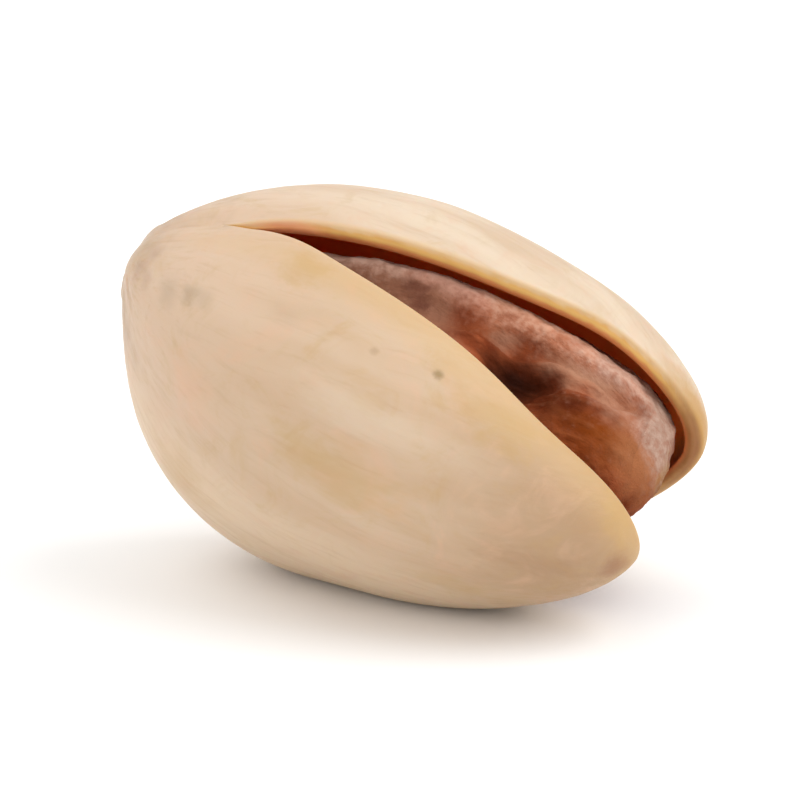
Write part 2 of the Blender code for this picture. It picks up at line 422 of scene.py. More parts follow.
def edge_path(station, side):
    """Points across the broken edge at one station, with how far through the wall each one is."""
    outer, inner = valve_point(station, 1, side, 0), valve_point(station, 1, side, WALL)
    outer_face, inner_face = rims[side, 0][station].co, rims[side, WALL][station].co
    round_share = min(1.0, min(station, SPLIT_STATIONS - station) / ROUND_EASE)
    across = inner - outer
    thick = across.length
    first = outer + across * (ROUND_OUTER * round_share / thick)
    last = inner - across * (ROUND_INNER * round_share / thick)
    outward = ((outer - outer_face) + (inner - inner_face)).normalized()
    path = rounding(outer_face, outer, first, 0.0, ROUND_THROUGH)
    for row in range(BAND_ROWS + 1):
        share = row / BAND_ROWS
        flat_place = first.lerp(last, share)
        crown = BAND_CROWN * math.sin(math.pi * share)
        chip = CHIP_HEIGHT * noise.noise(flat_place * CHIPS_PER_MM)
        through = ROUND_THROUGH + (1 - 2 * ROUND_THROUGH) * share
        path.append((flat_place + outward * (crown + chip) * round_share, through))
    return path + rounding(last, inner, inner_face, 1 - ROUND_THROUGH, 1.0)


def close_edge(bm, side, wall):
    """Rows of faces from the outer face, round the broken edge, to the inner face."""
    before = None
    for station in range(SPLIT_STATIONS + 1):
        line = [rims[side, 0][station]]
        for place, through in edge_path(station, side):
            vert = bm.verts.new(place)
            vert[wall] = through
            line.append(vert)
        line.append(rims[side, WALL][station])
        if before:
            for row in range(len(line) - 1):
                bm.faces.new((before[row], line[row], line[row + 1], before[row + 1]))
        before = line


for side in (-1, 1):
    close_edge(shell_bm, side, wall_layer)
bmesh.ops.remove_doubles(shell_bm, verts=shell_bm.verts[:], dist=WELD_DISTANCE)
bmesh.ops.dissolve_degenerate(shell_bm, edges=shell_bm.edges[:], dist=SLIVER)
bmesh.ops.recalc_face_normals(shell_bm, faces=shell_bm.faces[:])
open_edges = sum(1 for edge in shell_bm.edges if not edge.is_manifold)
faces_out = shell_bm.calc_volume(signed=True) > 0
print("shell faces:", len(shell_bm.faces), "open edges:", open_edges, "faces point out:", faces_out)

# %% [markdown]
# ## Distance from the edge
#
# The near valve is yellower beside its broken edge, and the relief fades out there, so both the
# relief and the colours need to know how far away the edge is. A k-d tree holds all the points
# of the edge and finds the nearest one fast. Each vertex keeps that distance, and its own place
# before the relief moves it.

# %% Measure from the broken edge
split_stations = range(SPLIT_STATIONS + 1)
edge_places = [valve_point(station, 1, side, 0) for side in (-1, 1) for station in split_stations]
rim_tree = kdtree.KDTree(len(edge_places))
for index, edge_place in enumerate(edge_places):
    rim_tree.insert(edge_place, index)
rim_tree.balance()

place_layer = shell_bm.verts.layers.float_vector.new("nut_place")
rim_layer = shell_bm.verts.layers.float.new("from_edge")
for vert in shell_bm.verts:
    vert[place_layer] = vert.co
    vert[rim_layer] = rim_tree.find(vert.co)[2]
print("furthest from the edge in mm:", round(max(vert[rim_layer] for vert in shell_bm.verts), 2))

# %% [markdown]
# ## Relief on the outside
#
# The shell feels smooth, but it isn't a perfect dome: it has shallow dents, faint fibres along
# its length, lips beside the closed seam, and the scar where the stalk held it, a low button
# with creases round it. Each is a few hundredths of a millimetre, and only the button's dimple
# is deeper. The vertices are pushed along their normals.

# %% Raise the relief
DENT_HEIGHT, DENT_SIZE, DENT_SHIFT = 0.055, 3.2, Vector((7.0, 0.0, 2.0))
CALM_EDGE = 0.5
FIBRE_HEIGHT, FIBRE_WIDTH, FIBRE_STRETCH = 0.010, 0.45, 7.0
LIP_HEIGHT, LIP_OFFSET, LIP_WIDTH, LIP_FADE, LIP_BAND = 0.05, 0.75, 0.45, 2.0, 1.2
BUTTON_RADIUS, BUTTON_HEIGHT, BUTTON_SOFTNESS = 1.45, 0.06, 0.09
DIMPLE_RADIUS, DIMPLE_DEPTH = 0.45, 0.20
CREASE_DEPTH, CREASE_COUNT, CREASE_START, CREASE_REACH = 0.045, 13, 1.3, 2.0
WANDER, WANDER_TURNS, WANDER_SHIFT = 0.25, 1.5, 3.0


def fibres(place):
    stretched = Vector((place.x / FIBRE_STRETCH, place.y, place.z)) / FIBRE_WIDTH
    return FIBRE_HEIGHT * noise.fractal(stretched, 1.0, 2.0, 2)


def seam_lips(place, from_edge):
    """Two low ridges beside the seam, where it has not split."""
    lip = LIP_HEIGHT * bell(abs(place.y) - LIP_OFFSET, LIP_WIDTH)
    closed = min(1.0, from_edge / LIP_FADE)
    near_seam = abs(abs(place.z) - abs(height_at(place.x, place.z, 0))) < LIP_BAND
    return lip * closed if near_seam else 0.0


def stalk_scar(place):
    """A button with a dimple, and creases that run out from it."""
    if place.x > -HALF_LENGTH / 2:
        return 0.0
    radius = math.hypot(place.y, place.z)
    angle = math.atan2(place.z, place.y)
    wander = WANDER * noise.noise(Vector((angle * WANDER_TURNS, radius, WANDER_SHIFT)))
    button = BUTTON_HEIGHT / (1 + math.exp((radius - BUTTON_RADIUS * (1 + wander)) / BUTTON_SOFTNESS))
    dimple = DIMPLE_DEPTH * bell(radius, DIMPLE_RADIUS)
    crease = max(0.0, math.sin(CREASE_COUNT * (angle + wander))) ** 3
    if radius > BUTTON_RADIUS:
        button -= CREASE_DEPTH * crease * bell(radius - BUTTON_RADIUS * CREASE_START, CREASE_REACH)
    return button - dimple


def shell_relief(place, from_edge):
    dents = DENT_HEIGHT * noise.noise(place / DENT_SIZE + DENT_SHIFT)
    calm = min(1.0, from_edge / CALM_EDGE)
    return (dents + fibres(place)) * calm + seam_lips(place, from_edge) + stalk_scar(place)


shell_bm.normal_update()
raised = []
for vert in shell_bm.verts:
    height = shell_relief(vert.co, vert[rim_layer])
    raised.append(vert.normal * height * (1 - vert[wall_layer]))
for vert, push in zip(shell_bm.verts, raised):
    vert.co += push
print("highest relief in mm:", round(max(push.length for push in raised), 3))

# %% [markdown]
# ## The seed
#
# The seed is a second, slimmer nut shape. A sphere made from a cube has no poles, so its mesh
# stays even, and each of its directions is sent out to the seed's surface. Its two halves have
# shrunk apart on top. The far half keeps a rounded roll that runs along the seed and bends round
# its tip end, plumpest where the split starts, with a furrow beside it. The near half has a bulge,
# and a deep hollow opens between the two.

# %% Shape the seed's body
SEED_HALF_LENGTH, SEED_HALF_WIDTH = 9.60, 4.5
SEED_EDGE_HEIGHT, SEED_BACK_HEIGHT = 3.3, 7.0
SEED_EDGE_FORM = (-0.02, 1.05, 0.85)
SEED_BACK_FORM = (0.33, 1.15, 1.20)
SEED_CHEEK_FORM = (-0.09, 1.05, 0.64)
RIDGE_HEIGHT, RIDGE_Y, RIDGE_INNER_WIDTH, RIDGE_OUTER_WIDTH = 0.42, 1.62, 0.62, 0.85
RIDGE_BEND_X, RIDGE_REACH = 1.0, 7.6
START_HEIGHT, START_X, START_REACH, START_WIDTH = 0.50, -0.8, 4.8, 1.1
FURROW_DEPTH, FURROW_OFFSET, FURROW_WIDTH = 0.36, 1.2, 0.62
HOLLOW_DEPTH, HOLLOW_MIDDLE = 1.15, Vector((3.8, -0.4, 2.6))
HOLLOW_HALF_LENGTH, HOLLOW_FAR_WIDTH, HOLLOW_NEAR_WIDTH = 1.35, 0.72, 2.0
HOLLOW_TURN, HOLLOW_POWER = math.radians(-25.0), 1.4
BULGE_HEIGHT, BULGE_MIDDLE, BULGE_SIZE = 0.22, Vector((6.9, -1.7, 1.9)), Vector((1.9, 1.1, 1.4))
FAR_HALF_Y, FAR_HALF_FADE = -1.2, 1.2
SEED_CUTS = 110


def ramp(value, start, width):
    """0 up to start, 1 from start plus width onwards, and a straight rise between."""
    return min(1.0, max(0.0, (value - start) / width))


def across_ridge(point):
    """Distance from the roll's crest, outward positive. It is straight, then bends round the tip end."""
    ahead = max(0.0, point.x - RIDGE_BEND_X) / RIDGE_REACH
    aside = point.y / RIDGE_Y
    size = math.hypot(ahead, aside)
    steepness = math.hypot(ahead / RIDGE_REACH, aside / RIDGE_Y)
    return (size - 1) * size / steepness if steepness > 0 else -RIDGE_Y


def on_top(point):
    """1 on the far half's top, fading towards the near half and the back."""
    far_half = ramp(point.y, FAR_HALF_Y, FAR_HALF_FADE)
    return far_half * math.sqrt(max(0.0, point.z) / SEED_EDGE_HEIGHT)


def ridge_share(point):
    offset = across_ridge(point)
    width = RIDGE_OUTER_WIDTH if offset > 0 else RIDGE_INNER_WIDTH
    return on_top(point) * bell(offset, width)


def start_share(point):
    """1 where the split starts: the roll is plumper there, and its skin lies close under the far rim."""
    along = bell(point.x - START_X, START_REACH)
    return on_top(point) * along * bell(across_ridge(point), START_WIDTH)


def furrow_share(point):
    return on_top(point) * bell(across_ridge(point) + FURROW_OFFSET, FURROW_WIDTH)


def hollow_share(point):
    offset = Matrix.Rotation(-HOLLOW_TURN, 3, "Z") @ (point - HOLLOW_MIDDLE)
    width = HOLLOW_FAR_WIDTH if offset.y > 0 else HOLLOW_NEAR_WIDTH
    spread = (offset.x / HOLLOW_HALF_LENGTH) ** 2 + (offset.y / width) ** 2
    return math.exp(-(spread**HOLLOW_POWER)) if point.z > 0 else 0.0


def bulge_share(point):
    offset = point - BULGE_MIDDLE
    return math.prod(bell(offset[axis], BULGE_SIZE[axis]) for axis in range(3))


def seed_point(direction):
    """The point of the skin that this direction of the sphere is sent to."""
    span = math.hypot(direction.y, direction.z)
    if span == 0:
        return Vector((SEED_HALF_LENGTH * direction.x, 0, 0))
    size = SEED_EDGE_HEIGHT if direction.z > 0 else SEED_BACK_HEIGHT
    form = SEED_EDGE_FORM if direction.z > 0 else SEED_BACK_FORM
    y = direction.y / span * profile(SEED_HALF_WIDTH, SEED_CHEEK_FORM, -direction.x)
    z = direction.z / span * profile(size, form, -direction.x)
    point = Vector((direction.x * SEED_HALF_LENGTH, y, z))
    raised = RIDGE_HEIGHT * ridge_share(point) + START_HEIGHT * start_share(point)
    raised += BULGE_HEIGHT * bulge_share(point)
    sunk = FURROW_DEPTH * furrow_share(point) + HOLLOW_DEPTH * hollow_share(point)
    return point + Vector((0, 0, raised - sunk))


seed_bm = bmesh.new()
bmesh.ops.create_cube(seed_bm, size=2.0)
bmesh.ops.subdivide_edges(seed_bm, edges=seed_bm.edges[:], cuts=SEED_CUTS, use_grid_fill=True)
for vert in seed_bm.verts:
    vert.co = seed_point(vert.co.normalized())
bmesh.ops.recalc_face_normals(seed_bm, faces=seed_bm.faces[:])
print("seed vertices:", len(seed_bm.verts))

# %% [markdown]
# ## Wrinkles in the skin
#
# The skin is thin as paper and dried on the seed, so it has folds along its length and crumples
# between them. Noise folded over on itself, which leaves sharp creases, gives the folds, and
# soft turbulence gives the crumples. Each vertex also keeps how much the shell has rubbed it
# and how far it stands out on a fold, because the skin is pale and mauve where it is rubbed and
# reddish brown elsewhere. That pale on the raised roll is partly painted highlight as well.

# %% Wrinkle the skin
FOLD_HEIGHT, FOLD_WIDTH, FOLD_STRETCH, FOLD_LEVEL = 0.07, 0.9, 2.6, 0.6
FOLD_SHIFT = Vector((0.0, 4.0, 9.0))
CRUMPLE_HEIGHT, CRUMPLE_SIZE, CRUMPLE_LEVEL = 0.06, 0.45, 0.5
RUB_MIDDLE, RUB_START_WIDTH, RUB_INNER_WIDTH, RUB_OUTER_WIDTH = 0.15, 0.55, 0.8, 1.15
RUB_START_FADE, RUB_BEND_X, RUB_BEND_FADE, RUB_BEND_SHIFT = 2.0, 6.5, 1.5, 0.3
RUB_TIP_X, RUB_TIP_FADE, RUB_TIP_REACH = 7.8, 1.5, 1.3
RUB_EDGE_Y, RUB_EDGE_FADE, RUB_LOW_Z, RUB_LOW_FADE = -1.2, 1.5, -1.0, 2.6


def folds(place):
    stretched = Vector((place.x / FOLD_STRETCH, place.y, place.z)) / FOLD_WIDTH
    return 1 - 2 * abs(noise.noise(stretched + FOLD_SHIFT))


def crumples(place):
    return noise.turbulence(place / CRUMPLE_SIZE, 3, False)


def rubbed_and_lit_share(point):
    """1 along the roll, which the shell has rubbed pale, and whose pale is partly painted highlight on
    the raised crest. Round the tip end it reaches the near half.
    """
    bend_shift = RUB_BEND_SHIFT * ramp(point.x, RUB_BEND_X, RUB_BEND_FADE)
    offset = across_ridge(point) - RUB_MIDDLE - bend_shift
    past_start = ramp(point.x, 0.0, RUB_START_FADE)
    inner_width = RUB_START_WIDTH + (RUB_INNER_WIDTH - RUB_START_WIDTH) * past_start
    width = RUB_OUTER_WIDTH if offset > 0 else inner_width
    reach = RUB_TIP_REACH * ramp(point.x, RUB_TIP_X, RUB_TIP_FADE)
    far_half = ramp(point.y + reach, RUB_EDGE_Y, RUB_EDGE_FADE)
    upward = ramp(point.z, RUB_LOW_Z, RUB_LOW_FADE)
    return far_half * upward * bell(offset, width)


seed_place = seed_bm.verts.layers.float_vector.new("seed_place")
rubbed_and_lit_layer = seed_bm.verts.layers.float.new("rubbed")
fold_layer = seed_bm.verts.layers.float.new("fold")
seed_bm.normal_update()
for vert in seed_bm.verts:
    vert[seed_place] = vert.co
    vert[rubbed_and_lit_layer] = rubbed_and_lit_share(vert.co)
    vert[fold_layer] = folds(vert.co)
wrinkles = []
for vert in seed_bm.verts:
    fold = FOLD_HEIGHT * (vert[fold_layer] - FOLD_LEVEL)
    crumple = CRUMPLE_HEIGHT * (crumples(vert.co) - CRUMPLE_LEVEL)
    wrinkles.append(vert.normal * (fold + crumple))
for vert, push in zip(seed_bm.verts, wrinkles):
    vert.co += push
print("deepest wrinkle in mm:", round(max(push.length for push in wrinkles), 3))

# %% [markdown]
# ## Lay the nut down
#
# Both bodies turn together to the way the nut lies: tip down, leaning on its near cheek. The
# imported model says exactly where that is, so the turned shell is scaled and moved to fit the
# box of its node, and pressed flat where it meets the table.

# %% Turn and place both bodies
SEED_MIDDLE = Vector((0.52, 0.17, -0.16))
SEED_YAW, SEED_TILT = math.radians(8.6), math.radians(-2.0)
TIP_DOWN, LEAN, FLAT_DEPTH = math.radians(20.7), math.radians(19.9), 0.32

seat_seed = Matrix.Translation(SEED_MIDDLE) @ Matrix.Rotation(SEED_TILT, 4, "Y")
seat_seed = seat_seed @ Matrix.Rotation(SEED_YAW, 4, "Z")
pose = Matrix.Rotation(TIP_DOWN, 4, "Y") @ Matrix.Rotation(LEAN, 4, "X")
bmesh.ops.transform(seed_bm, matrix=pose @ seat_seed, verts=seed_bm.verts[:])
bmesh.ops.transform(shell_bm, matrix=pose, verts=shell_bm.verts[:])

box_low, box_high = (Vector(corner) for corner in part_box("shell"))
low = Vector(min(vert.co[axis] for vert in shell_bm.verts) for axis in range(3))
high = Vector(max(vert.co[axis] for vert in shell_bm.verts) for axis in range(3))
low.z += FLAT_DEPTH
scale = min((box_high[axis] - box_low[axis]) / (high[axis] - low[axis]) for axis in range(3))
middle = Vector(((low.x + high.x) / 2, (low.y + high.y) / 2, low.z))
stand = Vector(((box_low.x + box_high.x) / 2, (box_low.y + box_high.y) / 2, box_low.z))
settle = Matrix.Translation(stand) @ Matrix.Scale(scale, 4) @ Matrix.Translation(-middle)
for bm in (shell_bm, seed_bm):
    bmesh.ops.transform(bm, matrix=settle, verts=bm.verts[:])
for vert in shell_bm.verts:
    vert.co.z = max(0.0, vert.co.z)
print("scale against the drawn size:", round(scale / MM, 4))


# %% Make the two objects
def add_body(name, bm):
    mesh = bpy.data.meshes.new(name)
    bm.to_mesh(mesh)
    bm.free()
    mesh.shade_smooth()
    return add_to_scene(name, mesh)


shell = add_body("split_shell", shell_bm)
seed = add_body("seed", seed_bm)
print("triangles:", 2 * len(shell.data.polygons), 2 * len(seed.data.polygons))

# %% [markdown]
# ## Small tools for materials
#
# Building a material in code means adding nodes and joining sockets. These helpers do one thing
# each, and take either a plain value or another node's output for any input.

# %% Helpers that add nodes
def paint(red, green, blue):
    """A colour as a picture program shows it, 0 to 255, in the linear values that nodes work in."""
    return (*(((value / 255 + 0.055) / 1.055) ** 2.4 for value in (red, green, blue)), 1.0)


def add_node(tree, kind, inputs, **settings):
    """One node with its settings, and its inputs as plain values or as links."""
    made = tree.nodes.new(kind)
    for name, value in settings.items():
        setattr(made, name, value)
    for name, value in inputs.items():
        if isinstance(value, bpy.types.NodeSocket):
            tree.links.new(value, made.inputs[name])
        else:
            made.inputs[name].default_value = value
    return made


def math_node(tree, operation, first, second=0.0):
    return add_node(tree, "ShaderNodeMath", {0: first, 1: second}, operation=operation).outputs[0]


def product(tree, first, second):
    return math_node(tree, "MULTIPLY", first, second)


def vector_math(tree, operation, inputs, output="Vector"):
    return add_node(tree, "ShaderNodeVectorMath", inputs, operation=operation).outputs[output]


def split_axes(tree, vector):
    """The three numbers of a place, as outputs named X, Y and Z."""
    return add_node(tree, "ShaderNodeSeparateXYZ", {0: vector}).outputs


def noise_node(tree, inputs, output=0):
    """Soft noise: output 0 is one number, near 0.5, and the one named Color is three."""
    return add_node(tree, "ShaderNodeTexNoise", inputs).outputs[output]


def blend(tree, factor, first, second):
    """Mix two colours."""
    return add_node(tree, "ShaderNodeMix", {0: factor, 6: first, 7: second}, data_type="RGBA").outputs[2]


def remap(tree, value, low, high, to_low=0.0, to_high=1.0):
    """Spread a value smoothly from one range to another, and hold it at the ends."""
    inputs = {"Value": value, "From Min": low, "From Max": high, "To Min": to_low, "To Max": to_high}
    return add_node(tree, "ShaderNodeMapRange", inputs, interpolation_type="SMOOTHSTEP").outputs["Result"]


def tint(tree, colour, stain, value, low, high, most=1.0):
    """Bring a stain in as a value goes from low to high, up to the share called most."""
    return blend(tree, remap(tree, value, low, high, 0.0, most), colour, stain)


def make_uneven(tree, value, noise_value, amount):
    """Shift a value up and down by noise, whose middle is 0.5."""
    shift = product(tree, math_node(tree, "SUBTRACT", noise_value, 0.5), amount)
    return math_node(tree, "ADD", value, shift)


def attribute(tree, name, output="Fac"):
    return add_node(tree, "ShaderNodeAttribute", {}, attribute_name=name).outputs[output]


def add_group(name, inputs, outputs):
    """A node group with its sockets, and its input and output nodes."""
    tree = bpy.data.node_groups.new(name, "ShaderNodeTree")
    for socket, kind, value in inputs:
        made = tree.interface.new_socket(socket, in_out="INPUT", socket_type=kind)
        made.default_value = value
    for socket, kind in outputs:
        tree.interface.new_socket(socket, in_out="OUTPUT", socket_type=kind)
    print("group:", name, [socket.name for socket in tree.interface.items_tree])
    return tree, tree.nodes.new("NodeGroupInput").outputs, tree.nodes.new("NodeGroupOutput").inputs


def use_group(tree, group, inputs):
    return add_node(tree, "ShaderNodeGroup", inputs, node_tree=group).outputs


FLOAT, VECTOR = "NodeSocketFloat", "NodeSocketVector"
ORIGIN = (0.0, 0.0, 0.0)
print("middle grey, linear:", round(paint(128, 128, 128)[0], 3))

# %% [markdown]
# ## Effects that both materials share
#
# Shell and skin have three effects in common: threads that run along the nut, blots at a chosen
# place, and a scatter of small specks. Each is a node group, so it is drawn once and used with
# other values in each material. The threads start at the stalk end, part over the cheek and meet
# again at the tip, so the place is first divided by how thick the nut is at that point.

# %% Group: threads along the nut
THIN_END, BROAD_SHARE = 0.05, 0.22

threads, sent, wanted = add_group(
    "threads",
    [
        ("Place", VECTOR, ORIGIN),
        ("Half Length", FLOAT, 10.0),
        ("Width", FLOAT, 0.5),
        ("Stretch", FLOAT, 8.0),
        ("Waver", FLOAT, 0.4),
    ],
    [("Fine", FLOAT), ("Broad", FLOAT)],
)
sway = noise_node(threads, {"Vector": sent["Place"], "Scale": 0.35, "Detail": 1.0}, "Color")
sway = vector_math(threads, "SCALE", {0: sway, "Scale": sent["Waver"]})
axes = split_axes(threads, vector_math(threads, "ADD", {0: sent["Place"], 1: sway}))
along = math_node(threads, "DIVIDE", axes["X"], sent["Half Length"])
thick = math_node(threads, "SUBTRACT", 1.0, product(threads, along, along))
thick = math_node(threads, "SQRT", math_node(threads, "MAXIMUM", thick, THIN_END))
parted = {
    "X": math_node(threads, "DIVIDE", axes["X"], sent["Stretch"]),
    "Y": math_node(threads, "DIVIDE", axes["Y"], thick),
    "Z": math_node(threads, "DIVIDE", axes["Z"], thick),
}
drawn = add_node(threads, "ShaderNodeCombineXYZ", parted).outputs[0]
per_mm = math_node(threads, "DIVIDE", 1.0, sent["Width"])
fine = noise_node(threads, {"Vector": drawn, "Scale": per_mm, "Detail": 4.0, "Roughness": 0.6})
slow = product(threads, per_mm, BROAD_SHARE)
broad = noise_node(threads, {"Vector": drawn, "Scale": slow, "Detail": 2.0})
threads.links.new(fine, wanted["Fine"])
threads.links.new(broad, wanted["Broad"])

# %% Group: a blot at one place
BLOT_HEART, TEAR = 0.15, 4.0

blot, sent, wanted = add_group(
    "blot",
    [
        ("Place", VECTOR, ORIGIN),
        ("Middle", VECTOR, ORIGIN),
        ("Size", VECTOR, (1.0, 1.0, 1.0)),
        ("Ragged", FLOAT, 0.4),
    ],
    [("Mask", FLOAT)],
)
offset = vector_math(blot, "SUBTRACT", {0: sent["Place"], 1: sent["Middle"]})
scaled = vector_math(blot, "DIVIDE", {0: offset, 1: sent["Size"]})
far = vector_math(blot, "LENGTH", {0: scaled}, "Value")
torn = noise_node(blot, {"Vector": scaled, "Scale": 1.6, "Detail": 3.0, "Roughness": 0.6})
edge = make_uneven(blot, far, torn, product(blot, sent["Ragged"], TEAR))
blot.links.new(remap(blot, edge, 1.0, BLOT_HEART), wanted["Mask"])


def blot_mask(tree, place, middle, size, ragged):
    sockets = {"Place": place, "Middle": middle, "Size": size, "Ragged": ragged}
    return use_group(tree, blot, sockets)["Mask"]


def add_blots(tree, place, colour, rows):
    """Stain the colour. A row holds a blot's middle, size, colour, strength and raggedness."""
    for middle, size, stain, strength, ragged in rows:
        mask = blot_mask(tree, place, middle, size, ragged)
        colour = blend(tree, product(tree, mask, strength), colour, stain)
    return colour


# %% Group: a scatter of specks
SPECK_CORE, DOT_STRENGTH = 0.4, 0.35

specks, sent, wanted = add_group(
    "specks",
    [("Place", VECTOR, ORIGIN), ("Spacing", FLOAT, 2.0), ("Radius", FLOAT, 0.1), ("Share", FLOAT, 0.3)],
    [("Mask", FLOAT)],
)
per_mm = math_node(specks, "DIVIDE", 1.0, sent["Spacing"])
cells = add_node(specks, "ShaderNodeTexVoronoi", {"Vector": sent["Place"], "Scale": per_mm}).outputs
far = product(specks, cells["Distance"], sent["Spacing"])
dot = remap(specks, far, sent["Radius"], product(specks, sent["Radius"], SPECK_CORE))
kept = math_node(specks, "LESS_THAN", split_axes(specks, cells["Color"])["X"], sent["Share"])
specks.links.new(product(specks, dot, kept), wanted["Mask"])


def add_dots(tree, place, colour, stain, spacing, radius, share):
    """Tiny dots of one stain, scattered all over."""
    sockets = {"Place": place, "Spacing": spacing, "Radius": radius, "Share": share}
    mask = use_group(tree, specks, sockets)["Mask"]
    return blend(tree, product(tree, mask, DOT_STRENGTH), colour, stain)


# %% [markdown]
# ## The shell's colours
#
# A pistachio shell is bone coloured. It is cream where the sun bleached it, tan towards the tip
# and pinkish by the stalk. Broad noise stretched along the nut mixes these main tones. Its back,
# which lies towards the table, is painted paler: painted light for the light the table bounces up.
# What is particular to one nut is put on as lists: soft stains where the hull clung longest,
# and grey smudges and a few olive specks.

# %% Colour the outer face
CREAM, FAR_CREAM, TAN = paint(198, 173, 146), paint(212, 194, 171), paint(188, 157, 125)
PINK, TIP_TAN, HAIR = paint(204, 175, 149), paint(163, 128, 91), paint(170, 136, 100)
YELLOWED, BROWNED, GREYED = paint(180, 144, 84), paint(154, 118, 84), paint(148, 126, 98)
ROSY, BLEACHED, OLIVE = paint(206, 166, 136), paint(204, 184, 160), paint(118, 92, 38)
UNDERSIDE_BOUNCE_LIGHT, BRUISED = paint(222, 198, 168), paint(140, 94, 68)
STAINS = [
    ((-4.0, -1.9, 4.6), (1.6, 1.2, 0.8), YELLOWED, 0.5, 0.45),
    ((0.6, -7.1, 1.2), (4.0, 1.8, 1.4), YELLOWED, 0.45, 0.45),
    ((4.8, -4.3, 4.0), (2.6, 1.4, 1.2), YELLOWED, 0.5, 0.45),
    ((2.5, -3.5, 4.5), (1.3, 0.9, 0.8), YELLOWED, 0.3, 0.45),
    ((5.2, -6.1, -2.3), (2.2, 1.2, 0.9), YELLOWED, 0.3, 0.45),
    ((9.8, -3.7, 1.8), (1.4, 1.0, 1.2), YELLOWED, 0.45, 0.45),
    ((-5.6, -4.8, -4.5), (2.6, 2.2, 2.2), YELLOWED, 0.3, 0.45),
    ((-5.8, -5.8, 0.4), (2.2, 1.8, 1.9), ROSY, 0.5, 0.45),
    ((0.2, -6.2, 3.3), (3.8, 1.4, 0.8), BLEACHED, 0.4, 0.45),
    ((7.8, -6.0, 0.2), (2.4, 1.8, 1.0), BROWNED, 0.35, 0.45),
    ((10.3, -4.2, 0.2), (0.9, 1.0, 0.8), BRUISED, 0.85, 0.2),
    ((2.0, 4.6, 3.8), (3.4, 2.0, 1.8), TAN, 0.5, 0.45),
    ((3.0, 5.6, 1.0), (2.4, 1.6, 1.2), YELLOWED, 0.35, 0.45),
    ((-4.5, 5.0, -3.0), (2.0, 1.8, 1.4), GREYED, 0.3, 0.45),
    ((-1.0, 1.5, -8.6), (2.4, 1.6, 1.2), BROWNED, 0.3, 0.45),
]
SMUDGES = [
    ((-9.6, -1.4, 1.7), (0.7, 0.6, 0.6), BRUISED, 0.22, 0.15),
    ((-9.9, -1.7, 1.0), (0.7, 0.7, 0.7), BRUISED, 0.3, 0.15),
    ((-9.4, -2.3, 1.3), (0.8, 0.7, 0.4), BRUISED, 0.22, 0.15),
    ((-8.2, -3.2, 2.0), (1.2, 1.0, 0.6), GREYED, 0.32, 0.15),
    ((-7.4, -3.5, 2.6), (0.8, 0.7, 0.5), GREYED, 0.42, 0.2),
    ((-6.8, -3.7, 2.9), (0.9, 0.7, 0.4), GREYED, 0.25, 0.15),
    ((-3.8, -4.0, 4.1), (1.2, 0.8, 0.4), GREYED, 0.15, 0.15),
    ((2.14, -3.9, 4.5), (0.3, 0.3, 0.3), OLIVE, 0.65, 0.15),
    ((-0.22, -4.2, 4.5), (0.26, 0.26, 0.26), OLIVE, 0.25, 0.15),
    ((-6.2, 5.2, -1.0), (0.3, 0.3, 0.3), OLIVE, 0.6, 0.15),
]


def outer_colour(tree, place, strands):
    """Broad streaks of cream and tan that change over the nut, with mottling and fine hairs, and a back
    painted paler for light bounced up from the table.
    """
    axes = split_axes(tree, place)
    far_side = remap(tree, axes["Y"], 0.0, 1.5, 0.0, 0.8)
    light, dark = blend(tree, far_side, CREAM, FAR_CREAM), blend(tree, far_side, TAN, CREAM)
    colour = tint(tree, light, dark, strands["Broad"], 0.25, 0.75, 0.75)
    colour = tint(tree, colour, PINK, axes["X"], -1.0, -9.0, 0.6)
    towards_tip = remap(tree, axes["X"], 1.5, 9.5, 0.0, 0.8)
    near_side = remap(tree, axes["Y"], 2.0, -1.0, 0.10, 1.0)
    colour = blend(tree, product(tree, towards_tip, near_side), colour, TIP_TAN)
    # Painted light: paler towards the back, for light bounced up from the table.
    colour = tint(tree, colour, UNDERSIDE_BOUNCE_LIGHT, axes["Z"], -0.6, -4.5, 0.6)
    cloud = {"Vector": place, "Scale": 0.38, "Detail": 4.0, "Roughness": 0.62, "Distortion": 1.5}
    mottle = noise_node(tree, cloud)
    colour = tint(tree, colour, ROSY, mottle, 0.48, 0.75, 0.40)
    colour = tint(tree, colour, YELLOWED, mottle, 0.50, 0.25, 0.30)
    return tint(tree, colour, HAIR, strands["Fine"], 0.5, 0.8, 0.25)


print("stains and smudges:", len(STAINS) + len(SMUDGES))

# %% [markdown]
# The scar of the stalk is paler than the shell round it, with grey dust in the creases, and the
# wood round it has taken up brown from the hull.

# %% Colour the stalk end
STALK_END = (-10.6, 0.0, 0.0)
BUTTON_PALE, DUST, HULL_BROWN = paint(204, 183, 160), paint(173, 154, 137), paint(158, 124, 90)
STALK_MARKS = [
    (STALK_END, (3.5, 4.6, 4.6), HULL_BROWN, 0.3, 0.7),
    (STALK_END, (2.4, 3.4, 3.4), DUST, 0.35, 0.6),
    (STALK_END, (1.5, 1.9, 1.9), BUTTON_PALE, 0.8, 0.15),
]
print("marks at the stalk end:", len(STALK_MARKS))

# %% [markdown]
# ## Through the wall
#
# The wall shows other colours where it broke: fresh wood, pale at the outer edge, then yellow,
# then a warm orange brown towards the inside, with salmon where the crack starts. Behind it the
# inner face is painted dark brown just under the rim, which is painted shade, and a bright orange
# deep inside, which stands for the red light the seed's skin throws onto it: light that gets in
# there bounces between orange walls and comes out red and dark. The number kept on each vertex,
# 0 outside to 1 inside, picks which of these shows.

# %% Colour the broken edge and the inner face
EDGE_PALE, EDGE_YELLOW, EDGE_WARM = paint(212, 180, 134), paint(214, 168, 92), paint(208, 138, 84)
